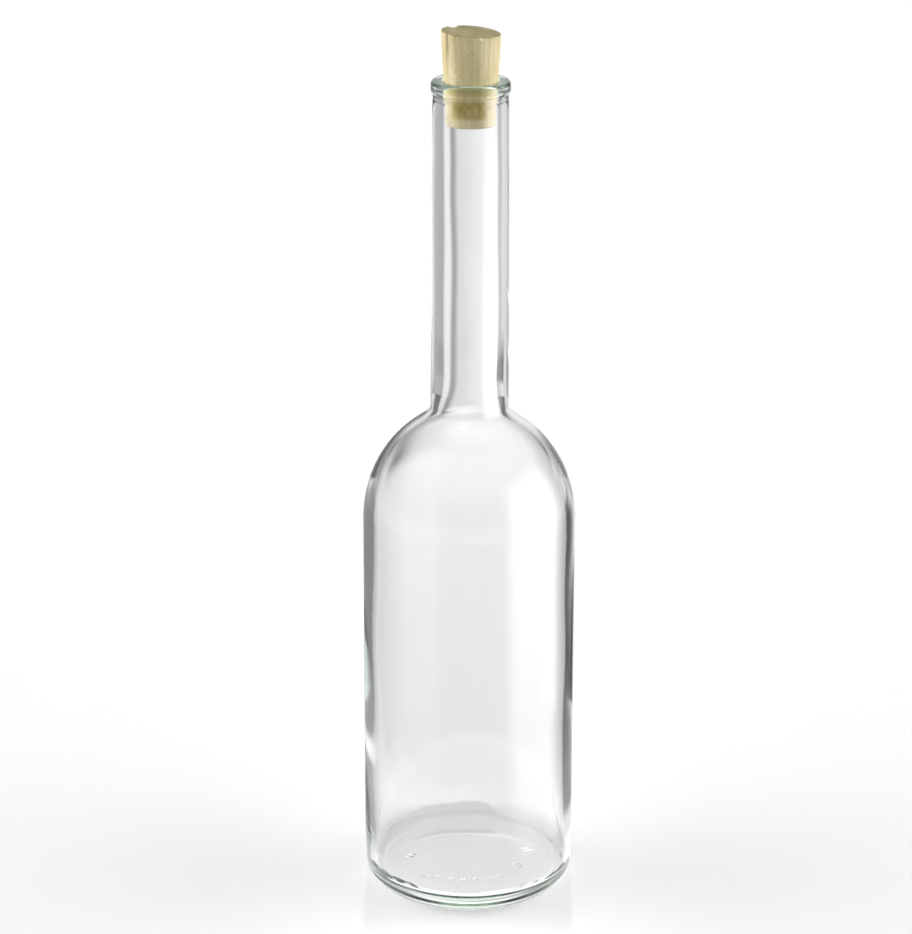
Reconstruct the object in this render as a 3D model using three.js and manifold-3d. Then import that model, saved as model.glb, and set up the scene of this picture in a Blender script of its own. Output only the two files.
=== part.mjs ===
// A clear glass bottle for serving drinks, closed with a tapered cork.
// Millimetres, +Z up. The origin is the centre of the ring that the bottle stands on.
import * as THREE from "three";
import { mergeVertices } from "three/addons/utils/BufferGeometryUtils.js";
import Module from "manifold-3d";

const wasm = await Module();
wasm.setup();

// Outside of the bottle
const BODY_RADIUS = 39.5;
const BOTTLE_HEIGHT = 312;
const HEEL_RADIUS = 9.2;
const SHOULDER_START = 145.65;
const SHOULDER_RISE = 43.05;
const SHOULDER_ROUNDNESS = 2.04;
const NECK_ROOT_RADIUS = 14.45;
const NECK_TOP_RADIUS = 13.75;
const NECK_BLEND = 6;

// Finish at the mouth: a rounded ring with a shallow groove under it
const RING_RADIUS = 14.4;
const RING_HEIGHT = 4.8;
const RING_ROUNDING = 1.5;
const GROOVE_RADIUS = 13.5;
const GROOVE_DROP = 6.4;
const COLLAR_DROP = 8;

// Glass thickness and the inside. The wall is thinnest where the shoulder turns in.
const WALL = 3.2;
const SHOULDER_WALL = 2.6;
const SHOULDER_THINS_FROM = 150;
const SHOULDER_THINNEST = 183;
const NECK_THICKENS_FROM = 185;
const NECK_THICKEST = 199;
const BORE_RADIUS = 9.85;
const BORE_ROOT_RADIUS = 10.1;
const BORE_ROOT_HEIGHT = 206;
const MOUTH_RADIUS = 10.15;
const MOUTH_ROUNDING = 0.9;
const MOUTH_TAPER = 14;

// Base: thick glass, nearly flat inside, with a very shallow hollow within the ring that it stands on
const FLOOR_CORNER = 4.3;
const FLOOR_EDGE_HEIGHT = 7;
const FLOOR_HEIGHT = 7.2;
const STAND_RING_INNER = 28;
const PUNT_HEIGHT = 0.5;
const DOMING = 1.3;

// Cork
const CORK_TOP_RADIUS = 10.75;
const CORK_MOUTH_RADIUS = 9.8;
const CORK_END_RADIUS = 8.9;
const CORK_ABOVE_MOUTH = 17.4;
const CORK_IN_NECK = 15.8;
const CORK_TOP_SLOPE = 0.075;
const CORK_EDGE = 0.5;
const CHIP_WIDTH = 2.6;
const CHIP_NARROW_END = 0.8;
const CHIP_DEPTH = 1.3;
const CHIP_LIFT = 0.6;
const CHIP_ANGLE = 2.28;
const CHIP_SIDES = 8;

// How finely the curves are cut
const BOTTLE_SIDES = 64;
const CORK_SIDES = 48;
const HEEL_STEPS = 7;
const SHOULDER_STEPS = 10;
const SHOULDER_LAST_DEGREES = 66;
const ROOT_STEPS = 14;
const ROOT_END = 1.35;
const FLOOR_STEPS = 3;
const RING_STEPS = 3;
const MERGE_DISTANCE = 1e-4;

// Values from a to b in n equal steps, both ends included.
function steps(a, b, n) {
  return Array.from({ length: n + 1 }, (_, i) => a + ((b - a) * i) / n);
}

// Points of a round corner about (r, z), from one angle to another in degrees.
function arc(r, z, radius, from, to, n) {
  return steps(from, to, n).map((degrees) => {
    const a = THREE.MathUtils.degToRad(degrees);
    return [r + radius * Math.cos(a), z + radius * Math.sin(a)];
  });
}

// Points of a shallow dome, from one radius to another within its rim.
function dome(rim, rimHeight, topHeight, from, to) {
  return steps(from, to, FLOOR_STEPS).map((r) => {
    return [r, rimHeight + (topHeight - rimHeight) * (1 - (r / rim) ** 2) ** DOMING];
  });
}

// Outer radius of the neck, a straight taper from its root to the collar.
const neckRoot = SHOULDER_START + SHOULDER_RISE;
const neckTop = BOTTLE_HEIGHT - COLLAR_DROP;
function neckRadius(z) {
  return THREE.MathUtils.mapLinear(z, neckRoot, neckTop, NECK_ROOT_RADIUS, NECK_TOP_RADIUS);
}

// Outer radius of shoulder and neck: a superellipse dome that runs softly into the neck.
function outerRadius(z) {
  const t = THREE.MathUtils.clamp((z - SHOULDER_START) / SHOULDER_RISE, 0, 1);
  const shoulder = BODY_RADIUS * (1 - t ** SHOULDER_ROUNDNESS) ** (1 / SHOULDER_ROUNDNESS);
  const blend = NECK_BLEND * t;
  const neck = neckRadius(z) - blend ** 2 / (4 * neckRadius(z));
  return (shoulder + neck + Math.hypot(shoulder - neck, blend)) / 2;
}

// Glass thickness, square to the outside.
function thickness(z) {
  const thinning = THREE.MathUtils.smoothstep(z, SHOULDER_THINS_FROM, SHOULDER_THINNEST);
  const thickening = THREE.MathUtils.smoothstep(z, NECK_THICKENS_FROM, NECK_THICKEST);
  const body = THREE.MathUtils.lerp(WALL, SHOULDER_WALL, thinning);
  return THREE.MathUtils.lerp(body, neckRadius(z) - BORE_ROOT_RADIUS, thickening);
}

// Heights up the shoulder and into the neck, dense where the dome turns over.
const shoulderHeights = [
  ...steps(0, SHOULDER_LAST_DEGREES, SHOULDER_STEPS).map((degrees) => {
    return SHOULDER_START + SHOULDER_RISE * Math.sin(THREE.MathUtils.degToRad(degrees));
  }),
  ...steps(Math.sin(THREE.MathUtils.degToRad(SHOULDER_LAST_DEGREES)), ROOT_END, ROOT_STEPS)
    .slice(1)
    .map((t) => SHOULDER_START + SHOULDER_RISE * t),
];

// The point inside the wall that lies square to the outside at height z.
function innerPoint(z) {
  const probe = 0.01;
  const slope = (outerRadius(z + probe) - outerRadius(z - probe)) / (2 * probe);
  const along = thickness(z) / Math.hypot(1, slope);
  return [outerRadius(z) - along, z + along * slope];
}

// The whole wall in one line: the hollow, up the outside, over the lip and down to the floor.
function bottleProfile() {
  const ringTop = BOTTLE_HEIGHT - RING_ROUNDING;
  const ringFoot = BOTTLE_HEIGHT - RING_HEIGHT + RING_ROUNDING;
  const ringCentre = RING_RADIUS - RING_ROUNDING;
  const lipCentre = MOUTH_RADIUS + MOUTH_ROUNDING;
  const floorEdge = BODY_RADIUS - WALL - FLOOR_CORNER;
  return [
    ...dome(STAND_RING_INNER, 0, PUNT_HEIGHT, 0, STAND_RING_INNER),
    ...arc(BODY_RADIUS - HEEL_RADIUS, HEEL_RADIUS, HEEL_RADIUS, -90, 0, HEEL_STEPS),
    ...shoulderHeights.map((z) => [outerRadius(z), z]),
    [neckRadius(neckTop), neckTop],
    [GROOVE_RADIUS, BOTTLE_HEIGHT - GROOVE_DROP],
    ...arc(ringCentre, ringFoot, RING_ROUNDING, -70, 0, RING_STEPS),
    ...arc(ringCentre, ringTop, RING_ROUNDING, 0, 90, RING_STEPS + 1),
    ...arc(lipCentre, BOTTLE_HEIGHT - MOUTH_ROUNDING, MOUTH_ROUNDING, 90, 180, RING_STEPS),
    [BORE_RADIUS, BOTTLE_HEIGHT - MOUTH_TAPER],
    [BORE_ROOT_RADIUS, BORE_ROOT_HEIGHT],
    ...shoulderHeights.map(innerPoint).reverse(),
    ...arc(floorEdge, FLOOR_EDGE_HEIGHT + FLOOR_CORNER, FLOOR_CORNER, 0, -90, HEEL_STEPS),
    ...dome(floorEdge, FLOOR_EDGE_HEIGHT, FLOOR_HEIGHT, floorEdge, 0).slice(1),
  ];
}

// Turned solid about +Z from an outline of [radius, height] points.
function turned(profile, sides) {
  const points = profile.map(([r, z]) => new THREE.Vector2(r, z));
  return new THREE.LatheGeometry(points, sides).rotateX(Math.PI / 2);
}

function toSolid(geometry) {
  const bare = geometry.clone();
  bare.deleteAttribute("normal");
  bare.deleteAttribute("uv");
  const merged = mergeVertices(bare, MERGE_DISTANCE);
  return new wasm.Manifold(
    new wasm.Mesh({
      numProp: 3,
      vertProperties: new Float32Array(merged.attributes.position.array),
      triVerts: new Uint32Array(merged.index.array),
    }),
  );
}

function toGeometry(solid) {
  const mesh = solid.getMesh();
  const geometry = new THREE.BufferGeometry();
  geometry.setAttribute("position", new THREE.BufferAttribute(new Float32Array(mesh.vertProperties), 3));
  geometry.setIndex(new THREE.BufferAttribute(new Uint32Array(mesh.triVerts), 1));
  return geometry;
}

// The whole stopper. Its top was sawn at a slight slope, lower towards +X.
function corkBlank() {
  const top = BOTTLE_HEIGHT + CORK_ABOVE_MOUTH;
  const end = BOTTLE_HEIGHT - CORK_IN_NECK;
  const outline = [
    [0, end],
    [CORK_END_RADIUS - CORK_EDGE, end],
    [CORK_END_RADIUS, end + CORK_EDGE],
    [CORK_MOUTH_RADIUS, BOTTLE_HEIGHT],
    [CORK_TOP_RADIUS, top - CORK_EDGE],
    [CORK_TOP_RADIUS - CORK_EDGE, top],
    [0, top],
  ];
  const geometry = turned(outline, CORK_SIDES);
  const position = geometry.attributes.position;
  for (let i = 0; i < position.count; i += 1) {
    if (position.getZ(i) > top - 2 * CORK_EDGE) {
      position.setZ(i, position.getZ(i) - CORK_TOP_SLOPE * position.getX(i));
    }
  }
  return geometry;
}

// A small wedge broken out of the rim of the cork.
function chip() {
  const cutter = new THREE.CylinderGeometry(CHIP_WIDTH, CHIP_NARROW_END, 2 * CHIP_DEPTH, CHIP_SIDES);
  const x = CORK_TOP_RADIUS * Math.cos(CHIP_ANGLE);
  const y = CORK_TOP_RADIUS * Math.sin(CHIP_ANGLE);
  cutter.rotateX(Math.PI / 2);
  cutter.translate(x, y, BOTTLE_HEIGHT + CORK_ABOVE_MOUTH + CHIP_LIFT);
  return cutter;
}

function mesh(name, geometry, material) {
  const made = new THREE.Mesh(geometry, material);
  made.name = name;
  return made;
}

const clearGlass = new THREE.MeshStandardMaterial({
  color: 0xdfe8e2,
  roughness: 0.03,
  metalness: 0,
  transparent: true,
  opacity: 0.35,
});
const naturalCork = new THREE.MeshStandardMaterial({ color: 0xc2ad84, roughness: 0.85, metalness: 0 });

const serving = new THREE.Group();
serving.add(mesh("bottle", turned(bottleProfile(), BOTTLE_SIDES), clearGlass));
serving.add(mesh("cork", toGeometry(toSolid(corkBlank()).subtract(toSolid(chip()))), naturalCork));

export default serving;
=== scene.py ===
"""A clear glass serving bottle with a tapered cork, standing empty on a white table."""

import functools
import math

import bpy
import numpy as np
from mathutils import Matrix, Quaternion


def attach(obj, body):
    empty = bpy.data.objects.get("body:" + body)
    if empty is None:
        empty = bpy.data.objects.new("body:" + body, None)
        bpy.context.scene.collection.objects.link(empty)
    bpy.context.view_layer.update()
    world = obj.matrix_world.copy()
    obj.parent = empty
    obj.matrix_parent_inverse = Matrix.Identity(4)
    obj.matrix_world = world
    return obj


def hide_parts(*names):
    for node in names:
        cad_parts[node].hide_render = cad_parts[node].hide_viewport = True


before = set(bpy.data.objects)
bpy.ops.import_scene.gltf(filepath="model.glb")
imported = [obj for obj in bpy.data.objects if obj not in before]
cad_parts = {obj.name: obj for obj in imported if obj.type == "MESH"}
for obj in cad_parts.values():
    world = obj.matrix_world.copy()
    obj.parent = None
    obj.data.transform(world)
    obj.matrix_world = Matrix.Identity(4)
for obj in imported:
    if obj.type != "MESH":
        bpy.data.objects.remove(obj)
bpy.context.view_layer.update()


# Camera
# It looks down at the bottle from a little over a metre away, turned slightly to the left of it,
# so that the bottle stands right of the middle of the picture.
PICTURE_WIDTH, PICTURE_HEIGHT = 912, 934
FOCAL_PIXELS = 3405
SENSOR_MM = 36
CAMERA_DISTANCE, CAMERA_HEIGHT = 1.193, 0.580
CAMERA_PITCH, CAMERA_TURN, CAMERA_ROLL = (math.radians(a) for a in (19.15, 0.24, 0.13))
NEAREST, FARTHEST = 0.05, 60

camera_data = bpy.data.cameras.new("camera")
camera_data.sensor_width = SENSOR_MM
camera_data.lens = FOCAL_PIXELS * SENSOR_MM / max(PICTURE_WIDTH, PICTURE_HEIGHT)
camera_data.clip_start, camera_data.clip_end = NEAREST, FARTHEST
camera = bpy.data.objects.new("camera", camera_data)
camera.location = (0, -CAMERA_DISTANCE, CAMERA_HEIGHT)
camera.rotation_mode = "QUATERNION"
turned_left = Quaternion((0, 0, 1), CAMERA_TURN)
looking_down = Quaternion((1, 0, 0), math.pi / 2 - CAMERA_PITCH)
camera.rotation_quaternion = turned_left @ looking_down @ Quaternion((0, 0, 1), CAMERA_ROLL)
bpy.context.scene.collection.objects.link(camera)
bpy.context.scene.camera = camera


# Bottle
# Clear soda glass, blown in a mould, so the outside is true and the inside runs a little uneven.
# One closed surface goes from under the base, up the outside, over the lip and down the bore.
BODY_RADIUS, BOTTLE_HEIGHT = 0.0395, 0.312
HEEL_RADIUS = 0.0092
SHOULDER_START, SHOULDER_RISE, SHOULDER_ROUNDNESS = 0.14565, 0.04305, 2.04
NECK_ROOT_RADIUS, NECK_TOP_RADIUS, NECK_BLEND = 0.01445, 0.01375, 0.006
RING_RADIUS, RING_HEIGHT, RING_ROUNDING = 0.0144, 0.0048, 0.0015
GROOVE_RADIUS, GROOVE_DROP, COLLAR_DROP = 0.0135, 0.0064, 0.008
ROOT_ROUNDING = 0.0006

# The groove under the ring runs through these points: metres out from its radius and up from its middle
GROOVE_POINTS = ((0.00015, -0.0007), (0, 0), (0.00012, 0.0004))

# The glass: its thickness, the heights between which that changes, the bore, the floor and the hollow under
# the base
WALL, SHOULDER_WALL = 0.0032, 0.0026
WALL_THINS, NECK_THICKENS = (0.150, 0.183), (0.185, 0.199)
BORE_RADIUS, BORE_FLARE, BORE_FLARE_LENGTH = 0.00985, 0.0002, 0.1
MOUTH_RADIUS, MOUTH_ROUNDING, MOUTH_TAPER = 0.01, 0.0009, 0.014
FLOOR_EDGE_HEIGHT, FLOOR_HEIGHT, FLOOR_CORNER, DOMING = 0.0070, 0.0072, 0.0043, 1.3
STAND_RING_INNER, PUNT_HEIGHT = 0.028, 0.0005

# Waves of the inner wall: strength, waves round the bottle, start in radians, and radians for each metre up
WAVES = ((0.45, 1, 2.1, 9), (0.3, 2, -0.7, 31), (0.22, 3, 1.9, -55), (0.16, 5, 0, 95))
SWELL_STRENGTH, SWELL_PITCH, SWELL_START, SWELL_TURN = 0.14, 140, 1.1, 0.4
WAVE_DEPTH, WAVES_END, WAVES_FULL = 0.0004, 0.02, 0.04

# The bore lies off the axis along the neck: two heights where that starts, and two drops below the mouth
# where it ends
BORE_SHIFT, SHIFT_STARTS, SHIFT_FULL, SHIFT_ENDS, SHIFT_FADES = 0.0002, 0.190, 0.210, 0.018, 0.035

# The corner of the floor ripples by these heights, given as the waves are. It dips at the right and lifts
# behind, between these directions in degrees, and its unevenness runs out up the wall.
CORNER_RIPPLES = ((0.0003, 5, 0.6, 0), (0.0002, 13, 0, 0), (0.0001, 31, 0, 0))
CORNER_DIP, DIP_STARTS, DIP_ENDS = 0.0022, (-30, 20), (78, 68)
CORNER_LIFT, LIFT_STARTS, LIFT_ENDS = 0.0032, (66, 80), (170, 120)
CORNER_BAND, CORNER_RUNS_OUT, CORNER_ZONE = 0.003, 0.040, (0.031, 0.034)

# Short bars sunk into the underside: degrees round it, then millimetres from its axis, across and along
BARS_FROM, BAR_DEPTH, BAR_SOFTNESS = 0.012, 0.0003, 0.0007
BARS_MM = ((169, 22.9, 1.2, 3.0), (164, 22.6, 1.0, 2.2), (-142, 20.4, 1.0, 3.4), (-131, 18, 1.6, 3.2),
           (-113, 17.3, 2.0, 3.2), (-97, 16.8, 1.4, 3.2), (-81, 16.4, 1.8, 3.0), (-54, 17, 7.0, 0.9),
           (-11, 19.6, 1.6, 3.2), (-4, 19.6, 1.0, 2.8), (23, 26, 1.2, 3.0), (28, 26, 1.0, 2.2))
MM_PER_METRE = 1000

# How finely the surface is cut
GLASS_SIDES, PLAIN_ROWS, UNDER_ROWS = 256, 4, 34
BODY_ROWS, DOME_ROWS, ROOT_ROWS, NECK_ROWS = 20, 24, 34, 30
DOME_SWEEP, ROOT_FROM, ROOT_TO = 1.08, 0.1836, 0.1960
SKIN_STEP, BELL_STEPS, ROW_GAP = 0.00005, 60, 0.001
HEEL_POINTS, UNDER_RING_POINTS, GROOVE_STEPS, RING_POINTS, MOUTH_POINTS = 20, 7, 16, 10, 9
TAPER_POINTS, CORNER_POINTS, FLOOR_POINTS = 7, 26, 14

WHITE = (1, 1, 1)
GLASS_INDEX = 1.52
GLASS_TINT, GLASS_TINT_DENSITY = (0.35, 0.60, 0.42), 3.5
LIP_TINT, LIP_TINT_STARTS, LIP_TINT_FULL = (0.70, 0.90, 0.72), 0.0026, 0.001


def soft_max(a, b, blend):
    """The larger of a and b, changing over softly: half of the sum of a, b and the root of the squared gap
    between them plus blend squared."""
    return (a + b + np.sqrt((a - b) ** 2 + blend ** 2)) / 2


def dome_radius(foot, rise, height):
    """Superellipse: foot times (1 - t ** n) ** (1 / n), where t is the height over the rise."""
    t = np.clip(height / rise, 0, 1)
    return foot * (1 - t ** SHOULDER_ROUNDNESS) ** (1 / SHOULDER_ROUNDNESS)


def neck_radius(z):
    """Straight taper from the neck's root to its collar."""
    root = SHOULDER_START + SHOULDER_RISE
    t = (z - root) / (BOTTLE_HEIGHT - COLLAR_DROP - root)
    return NECK_ROOT_RADIUS + (NECK_TOP_RADIUS - NECK_ROOT_RADIUS) * t


def round_corner(r, z, radius, start, end, count):
    """Points at centre + radius times (cos, sin), from one angle in degrees to another."""
    a = np.radians(np.linspace(start, end, count))
    return np.stack([r + radius * np.cos(a), z + radius * np.sin(a)], 1)


def smooth_run(points, count):
    """A soft curve through a few given points: Catmull-Rom, each span a cubic of its four nearest points."""
    p = np.array(points, float)
    p = np.vstack([2 * p[0] - p[1], p, 2 * p[-1] - p[-2]])
    s = np.linspace(0, len(p) - 3 - 1e-9, count)
    k = s.astype(int)
    t = (s - k)[:, None]
    a, b, c, d = p[k], p[k + 1], p[k + 2], p[k + 3]
    curve = (2 * a - 5 * b + 4 * c - d) * t ** 2
    return 0.5 * (2 * b + (c - a) * t + curve + (3 * b - a - 3 * c + d) * t ** 3)


def eased(value, start, end):
    """0 before the start and 1 after the end, softly between: 3 t squared - 2 t cubed."""
    t = np.clip((value - start) / (end - start), 0, 1)
    return t * t * (3 - 2 * t)


def gap_round(a, angle):
    """How far two directions lie apart in radians, by the shorter way round."""
    return np.abs((a - angle + np.pi) % (2 * np.pi) - np.pi)


def ripples(waves, a, z):
    """The sum of the waves, each its strength times the sine of its turns times a + its start + its pitch
    times z."""
    return sum(strength * np.sin(turns * a + start + pitch * z) for strength, turns, start, pitch in waves)


def wall_thickness(z):
    """Glass thickness square to the outside: thinnest over the shoulder, thickest in the neck."""
    bore = BORE_RADIUS + BORE_FLARE * np.clip((BOTTLE_HEIGHT - MOUTH_TAPER - z) / BORE_FLARE_LENGTH, 0, 1)
    body = WALL + (SHOULDER_WALL - WALL) * eased(z, *WALL_THINS)
    return body + (neck_radius(z) - bore - body) * eased(z, *NECK_THICKENS)


def side_skins():
    """Matching points up the outside and the inside, from the heel to the collar. The dome and the neck are
    joined by soft_max and rounded by a bell-weighted mean. The inside lies one thickness square to them."""
    z = np.arange(HEEL_RADIUS, BOTTLE_HEIGHT - COLLAR_DROP, SKIN_STEP)
    rise = np.clip(z - SHOULDER_START, 0, None)
    blend = NECK_BLEND * np.minimum(rise / SHOULDER_RISE, 1)
    neck = neck_radius(z) - blend ** 2 / (4 * neck_radius(z))
    r = soft_max(dome_radius(BODY_RADIUS, SHOULDER_RISE, rise), neck, blend)
    bell = np.exp(-0.5 * (np.arange(-BELL_STEPS, BELL_STEPS + 1) * SKIN_STEP / ROOT_ROUNDING) ** 2)
    r = np.convolve(np.pad(r, BELL_STEPS, "edge"), bell / bell.sum(), "valid")
    slope = np.gradient(r, SKIN_STEP)
    reach = wall_thickness(z) / np.hypot(1, slope)
    heights = np.concatenate([
        np.linspace(HEEL_RADIUS, SHOULDER_START, BODY_ROWS)[:-1],
        SHOULDER_START + SHOULDER_RISE * np.sin(np.linspace(0, DOME_SWEEP, DOME_ROWS))[:-1],
        np.linspace(ROOT_FROM, ROOT_TO, ROOT_ROWS)[:-1],
        np.linspace(ROOT_TO, z[-1], NECK_ROWS),
    ])
    k = np.clip(np.round((heights - z[0]) / SKIN_STEP).astype(int), 0, len(z) - 1)
    return np.stack([r, z], 1)[k], np.stack([r - reach, z + reach * slope], 1)[k]


def bottle_outline():
    """Radius and height of the whole wall in one line, from the middle of the hollow under the base to the
    middle of the floor, and the row where the inside starts."""
    plain = np.linspace(0, BARS_FROM, PLAIN_ROWS + 1)[:-1]
    r = np.concatenate([plain, np.linspace(BARS_FROM, STAND_RING_INNER, UNDER_ROWS - PLAIN_ROWS)])
    hollow = np.stack([r, PUNT_HEIGHT * (1 - (r / STAND_RING_INNER) ** 2)], 1)
    heel = round_corner(BODY_RADIUS - HEEL_RADIUS, HEEL_RADIUS, HEEL_RADIUS, -90, 0, HEEL_POINTS)[:-1]
    skin, wall = side_skins()
    ring_centre = RING_RADIUS - RING_ROUNDING
    ring_foot = BOTTLE_HEIGHT - RING_HEIGHT + RING_ROUNDING
    under_ring = round_corner(ring_centre, ring_foot, RING_ROUNDING, -65, 0, UNDER_RING_POINTS)
    groove = [(GROOVE_RADIUS + out, BOTTLE_HEIGHT - GROOVE_DROP + up) for out, up in GROOVE_POINTS]
    groove = smooth_run([skin[-1], *groove, under_ring[0]], GROOVE_STEPS)[1:-1]
    ring = round_corner(ring_centre, BOTTLE_HEIGHT - RING_ROUNDING, RING_ROUNDING, 0, 90, RING_POINTS)
    lip_r, lip_z = MOUTH_RADIUS + MOUTH_ROUNDING, BOTTLE_HEIGHT - MOUTH_ROUNDING
    mouth = round_corner(lip_r, lip_z, MOUTH_ROUNDING, 90, 180, MOUTH_POINTS)[1:]
    z = np.linspace(lip_z, BOTTLE_HEIGHT - MOUTH_TAPER, TAPER_POINTS)[1:]
    taper = np.stack([np.linspace(MOUTH_RADIUS, BORE_RADIUS, TAPER_POINTS)[1:], z], 1)
    floor_edge = BODY_RADIUS - WALL - FLOOR_CORNER
    corner_z = FLOOR_EDGE_HEIGHT + FLOOR_CORNER
    wall = wall[::-1]
    wall = wall[(wall[:, 1] < BOTTLE_HEIGHT - MOUTH_TAPER - ROW_GAP) & (wall[:, 1] > corner_z + ROW_GAP)]
    corner = round_corner(floor_edge, corner_z, FLOOR_CORNER, 0, -90, CORNER_POINTS)
    r = np.linspace(floor_edge, 0, FLOOR_POINTS)[1:]
    swell = (FLOOR_HEIGHT - FLOOR_EDGE_HEIGHT) * (1 - (r / floor_edge) ** 2) ** DOMING
    floor = np.stack([r, FLOOR_EDGE_HEIGHT + swell], 1)
    outside = np.vstack([hollow, heel, skin, groove, under_ring, ring, mouth])
    return np.vstack([outside, taper, wall, corner, floor]), len(outside)


def turned(outline, sides, warp):
    """Surface of revolution: each outline point (r, z) at angle a lies at (r cos a, r sin a, z), with r and
    z changed by warp(r, z, a, row). The two ends are on the axis and close as single points."""
    rows = outline[1:-1]
    a = np.linspace(0, 2 * np.pi, sides, endpoint=False)
    r, angle = np.meshgrid(rows[:, 0], a, indexing="ij")
    z = np.repeat(rows[:, 1][:, None], sides, 1)
    row = np.repeat(np.arange(1, len(rows) + 1)[:, None], sides, 1)
    r, z = warp(r, z, angle, row)
    ring = np.stack([r * np.cos(angle), r * np.sin(angle), z], -1).reshape(-1, 3)
    points = np.vstack([ring, [[0, 0, outline[0, 1]], [0, 0, outline[-1, 1]]]])
    n = len(rows)
    i, j = np.meshgrid(np.arange(n - 1), np.arange(sides), indexing="ij")
    k = (j + 1) % sides
    quads = np.stack([i * sides + j, i * sides + k, (i + 1) * sides + k, (i + 1) * sides + j], -1)
    j = np.arange(sides)
    k = (j + 1) % sides
    first = np.stack([np.full(sides, n * sides), k, j], 1)
    last = np.stack([np.full(sides, n * sides + 1), (n - 1) * sides + j, (n - 1) * sides + k], 1)
    return points, quads.reshape(-1, 4).tolist() + first.tolist() + last.tolist()


def smooth_piece(name, points, faces):
    """A smooth-shaded mesh object at the origin, with its place in its mesh."""
    mesh = bpy.data.meshes.new(name)
    mesh.from_pydata(points, [], faces)
    mesh.polygons.foreach_set("use_smooth", np.ones(len(mesh.polygons), bool))
    mesh.update()
    piece = bpy.data.objects.new(name, mesh)
    bpy.context.scene.collection.objects.link(piece)
    return piece


outline, inside_from = bottle_outline()


def blown(r, z, a, row):
    """Moves the inner wall in and out by the waves, shifts the bore, dips and lifts the corner of the floor
    by soft steps and ripples, and sinks the bars into the underside."""
    inside = row >= inside_from
    reach = np.clip(r / (BODY_RADIUS - WALL), 0, 1)
    swell = SWELL_STRENGTH * np.sin(SWELL_PITCH * z + SWELL_START) * np.cos(2 * a + SWELL_TURN)
    waves = ripples(WAVES, a, z) + swell
    below_mouth = eased(z, BOTTLE_HEIGHT - WAVES_END, BOTTLE_HEIGHT - WAVES_FULL)
    r = r + np.where(inside, WAVE_DEPTH * waves * reach * below_mouth, 0)
    in_neck = eased(z, SHIFT_STARTS, SHIFT_FULL)
    in_neck = in_neck * eased(z, BOTTLE_HEIGHT - SHIFT_ENDS, BOTTLE_HEIGHT - SHIFT_FADES)
    r = r + np.where(inside, BORE_SHIFT * np.cos(a) * in_neck, 0)

    low = eased(z, FLOOR_EDGE_HEIGHT, FLOOR_EDGE_HEIGHT + CORNER_BAND)
    low = low * eased(z, CORNER_RUNS_OUT, FLOOR_EDGE_HEIGHT + FLOOR_CORNER)
    degrees = (np.degrees(a) + 90) % 360 - 90
    dip = eased(degrees, *DIP_STARTS) * eased(degrees, *DIP_ENDS)
    lift = eased(degrees, *LIFT_STARTS) * eased(degrees, *LIFT_ENDS)
    uneven = ripples(CORNER_RIPPLES, a, z) - CORNER_DIP * dip + CORNER_LIFT * lift
    z = z + np.where(inside, uneven * low * eased(r, *CORNER_ZONE), 0)

    bars = np.zeros_like(r)
    soft = BAR_SOFTNESS / 2
    for degrees, distance, width, length in BARS_MM:
        across = gap_round(a, math.radians(degrees)) * r - width / 2 / MM_PER_METRE
        along = np.abs(r - distance / MM_PER_METRE) - length / 2 / MM_PER_METRE
        bars += eased(across, soft, -soft) * eased(along, soft, -soft)
    return r, z + np.where(row < UNDER_ROWS, BAR_DEPTH * bars, 0)


def node_material(name):
    """A new material and its nodes, which the functions below add to."""
    made = bpy.data.materials.new(name)
    made.use_nodes = True
    return made, made.node_tree.nodes


def feed(socket, value):
    """Gives a socket its number or colour, or links another node's output to it."""
    if isinstance(value, bpy.types.NodeSocket):
        socket.id_data.links.new(value, socket)
    elif isinstance(value, tuple):
        socket.default_value = (*value, 1)
    else:
        socket.default_value = value


def coordinates(kind="Object"):
    """The place on the piece that is being given its material, as one vector and as x, y and z."""
    place = nodes.new("ShaderNodeTexCoord").outputs[kind]
    split = nodes.new("ShaderNodeSeparateXYZ")
    feed(split.inputs["Vector"], place)
    return place, *split.outputs


def ease(value, start, end, low=0.0, high=1.0):
    """Goes softly from low to high while the value goes from start to end."""
    made = nodes.new("ShaderNodeMapRange")
    made.interpolation_type = "SMOOTHSTEP"
    for name, number in zip(("From Min", "From Max", "To Min", "To Max"), (start, end, low, high)):
        made.inputs[name].default_value = number
    feed(made.inputs["Value"], value)
    return made.outputs["Result"]


def mixed(kind, factor, a, b):
    """The colour a where the factor is 0, with b mixed or multiplied in where it is 1."""
    made = nodes.new("ShaderNodeMix")
    made.data_type = "RGBA"
    made.blend_type = kind
    for number, value in ((0, factor), (6, a), (7, b)):
        feed(made.inputs[number], value)
    return made.outputs[2]


bottle = smooth_piece("bottle_glass", *turned(outline, GLASS_SIDES, blown))
clear_glass, nodes = node_material("clear_glass")
height = coordinates()[-1]
at_lip = ease(height, BOTTLE_HEIGHT - LIP_TINT_STARTS, BOTTLE_HEIGHT - LIP_TINT_FULL)
shader = nodes["Principled BSDF"].inputs
feed(shader["Base Color"], mixed("MIX", at_lip, WHITE, LIP_TINT))
shader["Metallic"].default_value = 0
shader["Transmission Weight"].default_value = 1
shader["IOR"].default_value = GLASS_INDEX
shader["Roughness"].default_value = 0
tint = nodes.new("ShaderNodeVolumeAbsorption")
tint.inputs["Color"].default_value = (*GLASS_TINT, 1)
tint.inputs["Density"].default_value = GLASS_TINT_DENSITY
feed(nodes["Material Output"].inputs["Volume"], tint.outputs["Volume"])
bottle.data.materials.append(clear_glass)
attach(bottle, "root")
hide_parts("bottle")


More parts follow.
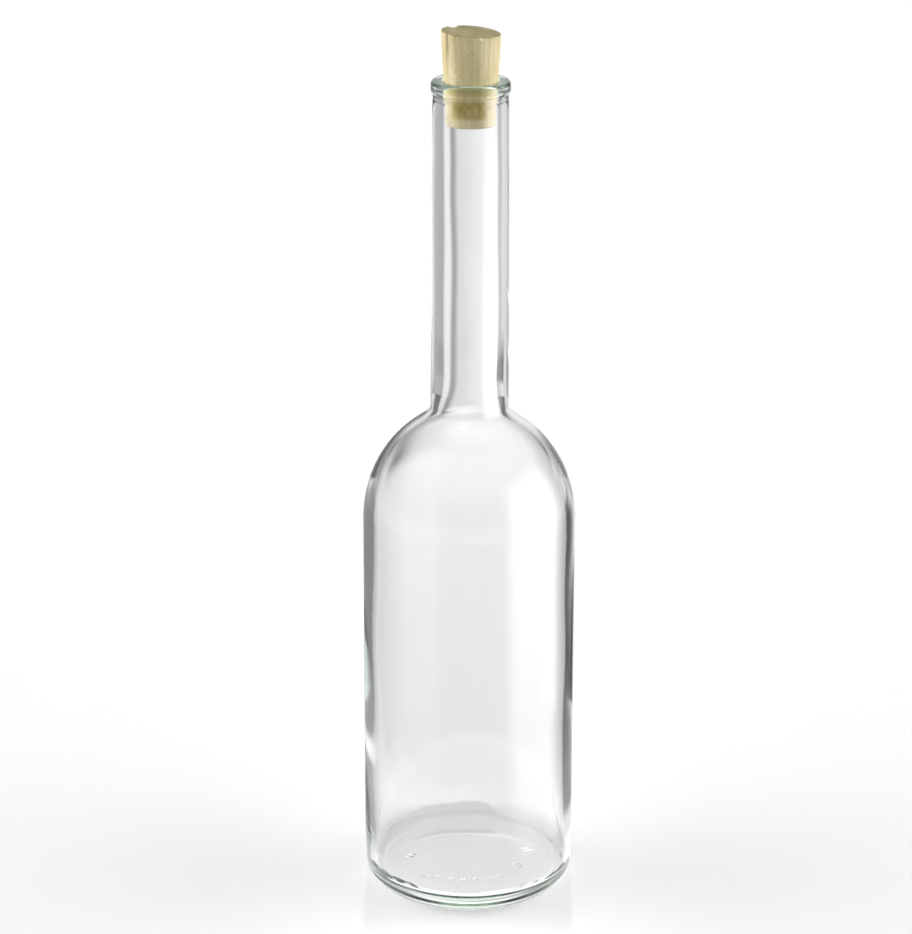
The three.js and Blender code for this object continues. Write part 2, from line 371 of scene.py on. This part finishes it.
# Cork
# A stopper punched from natural cork and ground to a taper. Its top was sawn a little askew, the rim
# has lost a chip, and fine upright grain, pores and a split mark its side.
CORK_TOP_RADIUS, CORK_MOUTH_RADIUS, CORK_END_RADIUS = 0.01075, 0.0098, 0.0089
CORK_ABOVE_MOUTH, CORK_IN_NECK = 0.0174, 0.0158
CORK_TOP_SLOPE, CORK_EDGE, SLOPE_LENGTH = 0.075, 0.0005, 0.006
CORK_SIDES, FOOT_ROWS, FOOT_EDGE_POINTS, SIDE_ROWS, TOP_EDGE_POINTS, TOP_ROWS = 256, 14, 6, 150, 8, 44

# Streaks are given as the waves of the glass are. Each mark has its direction in degrees, its width and its
# depth, then the radius or the distance under the top where it starts, and the length that it grows over.
STREAKS, STREAK_DEPTH = ((0.4, 17, 3, 0), (0.35, 29, 0, 140), (0.25, 53, 1, -90)), 0.00006
CHIP_ANGLE, CHIP_WIDTH, CHIP_DEPTH, CHIP_FULLNESS = 131, 0.0026, 0.0014, 0.7
CHIP_STARTS, CHIP_LENGTH = 0.0078, 0.0029
NICK_ANGLE, NICK_WIDTH, NICK_DEPTH, NICK_STARTS, NICK_LENGTH = 293, 0.0014, 0.0008, 0.0095, 0.001
SPLIT_ANGLE, SPLIT_WIDTH, SPLIT_DEPTH, SPLIT_STARTS, SPLIT_LENGTH = 218, 0.0008, 0.0006, 0.011, 0.008

# Each pattern is its scale, its detail and how far it is drawn out up the cork, with its colours by strength
GRAIN = (260, 6, 0.07)
GRAIN_COLOURS = ((0.3, (0.48, 0.41, 0.23)), (0.5, (0.62, 0.54, 0.33)), (0.7, (0.74, 0.67, 0.46)))
BLOTCHES, BLOTCH_COLOURS = (110, 3, 0.4), ((0.35, (0.84, 0.81, 0.72)), (0.65, WHITE))
FLECKS, FLECK_COLOURS, FLECK_STRENGTH = (900, 4, 0.5), ((0.28, (0.66, 0.58, 0.44)), (0.38, WHITE)), 0.7
STAIN, STAIN_COLOURS = (420, 3, 0.8), ((0.35, (0.80, 0.72, 0.42)), (0.65, (0.52, 0.45, 0.14)))
PORES, PORE_STRENGTH, PORE_DEPTH = (700, 6, 0.35), 0.35, 0.0003
NOISE_ROUGHNESS, CORK_ROUGHNESS, CORK_SHINE = 0.55, 0.85, 0.25

# Where the colour changes: each edge is where a tone starts and where it is full. The sawn top's darker
# tone is painted shade, its edge measured down from the top, and the neck's edge runs up and then down from
# the mouth.
TOP_SHADE_EDGE, TOP_SHADE_TONE = (0.0004, 0.0001), (0.55, 0.56, 0.50)
# In the neck the cork turns paler towards its left and right sides: painted light, as from lamps at the
# sides
NECK_EDGE, PAINTED_SIDE_EDGE, PAINTED_SIDE_TONE = (0.0005, 0.002), (0.0035, 0.0100), (0.66, 0.60, 0.44)
STAIN_LEFT, STAIN_RIGHT, STAIN_FRONT = (-0.0078, -0.0048), (0.0062, 0.0036), (0.0, -0.002)
STAIN_FOOT, STAIN_HEAD = (0.2985, 0.3010), (0.3075, 0.3055)
# A darker, browner band across the middle of the cork, just inside the mouth
DARK_BAND_FOOT, DARK_BAND_LEFT, DARK_BAND_RIGHT = (0.3075, 0.3090), (-0.0095, -0.0065), (0.0085, 0.0050)
DARK_BAND_TONE = (0.72, 0.62, 0.46)

cork_top = BOTTLE_HEIGHT + CORK_ABOVE_MOUTH
cork_end = BOTTLE_HEIGHT - CORK_IN_NECK


def cork_outline():
    """Radius and height of the cork in one line, from the middle of its foot, up the side and over the top,
    each stretch straight and the two edges round."""
    foot = np.linspace(0, CORK_END_RADIUS - CORK_EDGE, FOOT_ROWS)
    foot = np.stack([foot, np.full(FOOT_ROWS, cork_end)], 1)
    r = CORK_END_RADIUS - CORK_EDGE
    foot_edge = round_corner(r, cork_end + CORK_EDGE, CORK_EDGE, -90, -10, FOOT_EDGE_POINTS)[1:]
    z = np.linspace(cork_end + CORK_EDGE, cork_top - CORK_EDGE, SIDE_ROWS)
    above = np.clip((z - BOTTLE_HEIGHT) / CORK_ABOVE_MOUTH, 0, 1)
    below = np.clip((z - cork_end) / CORK_IN_NECK, 0, 1)
    side = CORK_END_RADIUS + (CORK_MOUTH_RADIUS - CORK_END_RADIUS) * below
    side = side + (CORK_TOP_RADIUS - CORK_MOUTH_RADIUS) * above
    r = CORK_TOP_RADIUS - CORK_EDGE
    top_edge = round_corner(r, cork_top - CORK_EDGE, CORK_EDGE, 10, 90, TOP_EDGE_POINTS)
    top = np.linspace(r, 0, TOP_ROWS)[1:]
    top = np.stack([top, np.full(TOP_ROWS - 1, cork_top)], 1)
    return np.vstack([foot, foot_edge, np.stack([side, z], 1), top_edge, top])


def grown(value, start, length):
    """0 before the start and 1 once the length is past, straight between."""
    return np.clip((value - start) / length, 0, 1)


def worn(r, z, a, row):
    """Slopes the top, roughens the side with streaks, and takes the chip, the nick and the split out of the
    rim, each deepest in its own direction and running out to both sides."""
    rise = grown(z, cork_top - SLOPE_LENGTH, SLOPE_LENGTH)
    z = z - CORK_TOP_SLOPE * r * np.cos(a) * rise
    side = r > CORK_END_RADIUS / 2
    r = r + np.where(side, STREAK_DEPTH * ripples(STREAKS, a, z), 0)

    def near(degrees, width):
        """1 at a direction round the cork, falling to 0 over a width in metres at the rim."""
        return np.clip(1 - gap_round(a, math.radians(degrees)) * CORK_TOP_RADIUS / width, 0, 1)

    chip = near(CHIP_ANGLE, CHIP_WIDTH) ** CHIP_FULLNESS * grown(r, CHIP_STARTS, CHIP_LENGTH)
    nick = near(NICK_ANGLE, NICK_WIDTH) * grown(r, NICK_STARTS, NICK_LENGTH)
    z = z - (CHIP_DEPTH * chip + NICK_DEPTH * nick) * rise
    split = near(SPLIT_ANGLE, SPLIT_WIDTH) * grown(z, cork_top - SPLIT_STARTS, SPLIT_LENGTH)
    return r - SPLIT_DEPTH * split * side, z


def noise(scale, detail, stretch):
    """Noise at the place on the cork, drawn out up it where the stretch is under 1."""
    mapping = nodes.new("ShaderNodeMapping")
    mapping.inputs["Scale"].default_value = (1, 1, stretch)
    feed(mapping.inputs["Vector"], place)
    texture = nodes.new("ShaderNodeTexNoise")
    texture.inputs["Scale"].default_value = scale
    texture.inputs["Detail"].default_value = detail
    texture.inputs["Roughness"].default_value = NOISE_ROUGHNESS
    feed(texture.inputs["Vector"], mapping.outputs["Vector"])
    return texture.outputs["Fac"]


def ramp(source, stops):
    """Colour ramp with (strength, colour) stops."""
    made = nodes.new("ShaderNodeValToRGB")
    band = made.color_ramp.elements
    for element, (at, colour) in ((band[0], stops[0]), (band[1], stops[-1])):
        element.position = at
        element.color = (*colour, 1)
    for at, colour in stops[1:-1]:
        band.new(at).color = (*colour, 1)
    feed(made.inputs["Fac"], source)
    return made.outputs["Color"]


def sums(kind, a, b=0.0):
    """One step of arithmetic. Each value is a number or an output."""
    made = nodes.new("ShaderNodeMath")
    made.operation = kind
    feed(made.inputs[0], a)
    feed(made.inputs[1], b)
    return made.outputs["Value"]


def total(*values):
    """The sum of all the values."""
    return functools.reduce(lambda a, b: sums("ADD", a, b), values)


def product(*values):
    """All the values multiplied together."""
    return functools.reduce(lambda a, b: sums("MULTIPLY", a, b), values)


cork = smooth_piece("cork_stopper", *turned(cork_outline(), CORK_SIDES, worn))
natural_cork, nodes = node_material("natural_cork")
place, x, y, z = coordinates()
# The top face, which is darkened below as painted shade
shaded_top = ease(total(product(x, CORK_TOP_SLOPE), z), *(cork_top - drop for drop in TOP_SHADE_EDGE))
in_neck = ease(z, BOTTLE_HEIGHT + NECK_EDGE[0], BOTTLE_HEIGHT - NECK_EDGE[1])

colour = mixed("MULTIPLY", 1.0, ramp(noise(*GRAIN), GRAIN_COLOURS), ramp(noise(*BLOTCHES), BLOTCH_COLOURS))
colour = mixed("MULTIPLY", FLECK_STRENGTH, colour, ramp(noise(*FLECKS), FLECK_COLOURS))
# Painted light: paler left and right sides of the cork in the neck
painted_side_light = product(in_neck, ease(sums("ABSOLUTE", x), *PAINTED_SIDE_EDGE))
colour = mixed("MIX", painted_side_light, colour, PAINTED_SIDE_TONE)
# A darker, browner band across the middle of the cork, just inside the mouth
dark_band = product(ease(z, *DARK_BAND_FOOT), ease(x, *DARK_BAND_LEFT), ease(x, *DARK_BAND_RIGHT), in_neck)
colour = mixed("MULTIPLY", dark_band, colour, DARK_BAND_TONE)
stained = product(ease(x, *STAIN_LEFT), ease(x, *STAIN_RIGHT), ease(y, *STAIN_FRONT))
stained = product(stained, ease(z, *STAIN_FOOT), ease(z, *STAIN_HEAD))
colour = mixed("MULTIPLY", stained, colour, ramp(noise(*STAIN), STAIN_COLOURS))

pores = nodes.new("ShaderNodeBump")
pores.inputs["Strength"].default_value = PORE_STRENGTH
pores.inputs["Distance"].default_value = PORE_DEPTH
feed(pores.inputs["Height"], noise(*PORES))
shader = nodes["Principled BSDF"].inputs
# Painted shade: the top face is darker
feed(shader["Base Color"], mixed("MULTIPLY", shaded_top, colour, TOP_SHADE_TONE))
feed(shader["Normal"], pores.outputs["Normal"])
shader["Roughness"].default_value = CORK_ROUGHNESS
shader["Specular IOR Level"].default_value = CORK_SHINE
cork.data.materials.append(natural_cork)
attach(cork, "root")
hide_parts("cork")


# Table
# A broad matt white table top, lit evenly enough to have no edge in view. It also glows by itself, a little
# more next to the base: painted light that fills the shadow there. A faint darker patch in front of the base
# is a painted reflection of the bottle. To rays from the glass the table glows in a painted pattern of light
# and shade, and what the glass mirrors of it is darker than what shows straight through, as between studio
# cards.
TABLE_RADIUS, TABLE_SIDES, TABLE_HEIGHT = 12, 96, -0.0002
TABLE_GREY, TABLE_ROUGHNESS, BLACK = (0.7, 0.7, 0.7), 0.6, (0, 0, 0)
# Where the painted reflection of the bottle lies, across and along, and its strength
PAINTED_REFLECTION_ACROSS, PAINTED_REFLECTION_ALONG, PAINTED_REFLECTION_STRENGTH = (-0.0393, 0.0393, 0.0012), (-0.050, 0.0, 0.012), 0.12

# Directions are a start, an end and a soft flank, in degrees from straight behind the bottle towards its
# right. Distances from its axis are where a change starts and ends, in metres. A tone adds its two levels.
# The levels below are painted light and shade of the table's glow, laid out round the bottle for the glass
# to mirror
BEHIND, BEHIND_LEVEL, LEFT_SIDE, LEFT_LEVEL = (-12, 12, 16), 0.42, (-150, -12, 8), 0.15
RIGHT_BEHIND, RIGHT_BEHIND_LEVEL, RIGHT_CARD = (6, 27, 11), 0.75, (78, 134, 12)
LEFT_GAP, LEFT_GAP_BAND, LEFT_GAP_LEVEL = (-66, -26, 4), (0.137, 0.158, 0.006), 0.6
RIGHT_GAP, RIGHT_GAP_BAND, RIGHT_GAP_LEVEL = (22, 74, 4), (0.080, 0.090, 1, 0), 0.45
AROUND_TONE, FOOT_TONE = (0.06, 0.26, 0.25, 0), (0.045, 0.075, 0.75, 0)
CARD_TONE, LEAST_LEVEL = (0.04, 0.17, 0.2, 1.7), 0.10
FAR_RIGHT, FAR_RIGHT_LEVEL, FAR_LEVEL, FAR_STARTS = (0, 44, 8), 0.35, 0.45, (0.62, 0.72)

# Seen straight through the glass: painted shade next to the base, a low painted shade round it, and a
# painted shade behind it further off. The table's own glow, seen past the glass, is painted light that is
# stronger next to the base.
PAINTED_SHADE_AT_BASE, PAINTED_SHADE_ROUND_BASE, PAINTED_GLOW = (0.058, 0.072, 0.80, 1), (0.07, 0.40, 0.11, 0.02), (0.04, 0.11, 0.25, 0.19)
SHADE_CORE, CORE_DEPTH, SHADE, SHADE_DEPTH = (-16, -9, 3), 0.5, (-14, -1, 9), 0.24
SHADE_STARTS = (0.5, 0.6)

# What matt pieces gather of the table, and how much of a card is left past so many faces of glass
ONTO_MATT, MOST_FACES, BEYOND_FACES = 0.2, 2.5, 0.3


def window(value, start, end, soft):
    """1 between start and end, 0 outside, with soft flanks."""
    return product(ease(value, start - soft, start + soft), ease(value, end - soft, end + soft, 1, 0))


def blend(factor, a, b):
    """The number a where the factor is 0 and b where it is 1."""
    made = nodes.new("ShaderNodeMix")
    for number, value in ((0, factor), (2, a), (3, b)):
        feed(made.inputs[number], value)
    return made.outputs[0]


def direction(x, y):
    """Degrees round the bottle, from straight behind it towards its right: the arc tangent of x over y."""
    return product(sums("ARCTAN2", x, y), 180 / math.pi)


def past(depth, limit=0.5):
    """1 for a ray that has more bounces of a kind behind it than the limit, else 0."""
    return sums("GREATER_THAN", ray[depth + " Depth"], limit)


def through_glass():
    """How much of a card's light a ray gathers: less once it has passed many faces of glass."""
    return blend(past("Transmission", MOST_FACES), 1.0, BEYOND_FACES)


a = np.linspace(0, 2 * np.pi, TABLE_SIDES, endpoint=False)
rim = [TABLE_RADIUS * np.cos(a), TABLE_RADIUS * np.sin(a), np.full(TABLE_SIDES, TABLE_HEIGHT)]
table = smooth_piece("table", np.stack(rim, 1), [list(range(TABLE_SIDES))])
white_top, nodes = node_material("white_top")
place, x, y, z = coordinates()
ray = nodes.new("ShaderNodeLightPath").outputs
away = sums("POWER", total(product(x, x), product(y, y)), 0.5)
turn = direction(x, y)

# Painted light and shade for rays that the glass mirrors onto the table
near_level = total(
    product(window(turn, *BEHIND), BEHIND_LEVEL),
    product(window(turn, *LEFT_SIDE), LEFT_LEVEL),
    ease(away, *AROUND_TONE),
    product(window(turn, *RIGHT_BEHIND), RIGHT_BEHIND_LEVEL),
    product(window(turn, *LEFT_GAP), window(away, *LEFT_GAP_BAND), LEFT_GAP_LEVEL),
    product(window(turn, *RIGHT_GAP), ease(away, *RIGHT_GAP_BAND), RIGHT_GAP_LEVEL),
    LEAST_LEVEL,
    ease(away, *FOOT_TONE),
    product(window(turn, *RIGHT_CARD), ease(away, *CARD_TONE), through_glass()),
)
far_level = total(product(window(turn, *FAR_RIGHT), FAR_RIGHT_LEVEL), FAR_LEVEL)
mirrored = blend(ease(away, *FAR_STARTS), near_level, far_level)
shade = total(product(window(turn, *SHADE_CORE), CORE_DEPTH), product(window(turn, *SHADE), SHADE_DEPTH))
# Painted shade for rays straight through the glass: darker next to the base and round it, and behind further
# off
straight = sums("SUBTRACT", ease(away, *PAINTED_SHADE_AT_BASE), ease(away, *PAINTED_SHADE_ROUND_BASE))
straight = sums("SUBTRACT", straight, product(shade, ease(away, *SHADE_STARTS)))
level = blend(past("Glossy"), straight, mirrored)
level = blend(past("Diffuse"), level, ONTO_MATT)

glow = nodes.new("ShaderNodeEmission")
feed(glow.inputs["Strength"], level)
# Painted reflection of the bottle: a faint darker patch on the table in front of the base
painted_reflection = product(window(x, *PAINTED_REFLECTION_ACROSS), window(y, *PAINTED_REFLECTION_ALONG), PAINTED_REFLECTION_STRENGTH)
shader = nodes["Principled BSDF"].inputs
feed(shader["Base Color"], mixed("MIX", painted_reflection, TABLE_GREY, BLACK))
shader["Roughness"].default_value = TABLE_ROUGHNESS
shader["Specular IOR Level"].default_value = 0
shader["Emission Color"].default_value = (*WHITE, 1)
# Painted light: the table glows by itself, a little more next to the base, filling the shadow there
feed(shader["Emission Strength"], ease(away, *PAINTED_GLOW))
choice = nodes.new("ShaderNodeMixShader")
feed(choice.inputs["Fac"], ray["Is Camera Ray"])
feed(choice.inputs[1], glow.outputs["Emission"])
feed(choice.inputs[2], nodes["Principled BSDF"].outputs["BSDF"])
feed(nodes["Material Output"].inputs["Surface"], choice.outputs["Shader"])
table.data.materials.append(white_top)


# Studio
# A tall curved soft box stands at the right and gives the glass its long highlight. Only mirrored rays see
# it. The white tent round it lights from the sides, and is mirrored bright behind the bottle and overhead.
CARD_STARTS, CARD_ENDS, CARD_RADIUS, CARD_HEIGHT, CARD_STEPS = 50, 150, 0.19, 0.33, 32
CARD_LEVEL, CARD_GAIN, CARD_FADE = 1.7, 13, (0.14, 0.32, 1, 0)
TENT_BEHIND, TENT_LEVEL, OVERHEAD = (-24, 24, 10), 0.85, (0.2, 0.8, 0.12, 1.0)
SIDEWAYS_POWER, SIDE_LIGHT, FRONT_LIGHT, LIGHT_THROUGH = 4, 9, 0.1, 1.8

a = np.radians(np.linspace(CARD_STARTS, CARD_ENDS, CARD_STEPS))
foot = np.stack([CARD_RADIUS * np.sin(a), CARD_RADIUS * np.cos(a), np.zeros(CARD_STEPS)], 1)
i = np.arange(CARD_STEPS - 1)
faces = np.stack([i, i + 1, i + 1 + CARD_STEPS, i + CARD_STEPS], 1).tolist()
card = smooth_piece("box_right", np.vstack([foot, foot + [0, 0, CARD_HEIGHT]]), faces)
card.visible_camera = card.visible_diffuse = card.visible_shadow = False

box_glow, nodes = node_material("box_glow")
nodes.remove(nodes["Principled BSDF"])
place, x, y, z = coordinates()
ray = nodes.new("ShaderNodeLightPath").outputs
light = nodes.new("ShaderNodeEmission")
feed(light.inputs["Strength"], product(total(product(z, CARD_GAIN), CARD_LEVEL), through_glass()))
clear = nodes.new("ShaderNodeBsdfTransparent")
pick = nodes.new("ShaderNodeMixShader")
cover = product(window(direction(x, y), *RIGHT_CARD), ease(z, *CARD_FADE))
feed(pick.inputs["Fac"], product(past("Glossy"), cover))
feed(pick.inputs[1], clear.outputs["BSDF"])
feed(pick.inputs[2], light.outputs["Emission"])
feed(nodes["Material Output"].inputs["Surface"], pick.outputs["Shader"])
card.data.materials.append(box_glow)

world = bpy.data.worlds.new("studio")
world.use_nodes = True
nodes = world.node_tree.nodes
place, x, y, z = coordinates("Generated")
ray = nodes.new("ShaderNodeLightPath").outputs
mirrored = total(product(window(direction(x, y), *TENT_BEHIND), TENT_LEVEL), ease(z, *OVERHEAD))
lit = total(product(sums("POWER", sums("ABSOLUTE", x), SIDEWAYS_POWER), SIDE_LIGHT), FRONT_LIGHT)
lit = product(lit, blend(past("Transmission"), 1.0, LIGHT_THROUGH))
background = nodes["Background"].inputs
background["Color"].default_value = (*WHITE, 1)
feed(background["Strength"], blend(past("Diffuse"), blend(past("Glossy"), 1.0, mirrored), lit))

scene = bpy.context.scene
scene.world = world
scene.cycles.max_bounces = 40
scene.cycles.transmission_bounces = 32
scene.cycles.glossy_bounces = 32
scene.cycles.diffuse_bounces = 2
scene.view_settings.view_transform = "Standard"
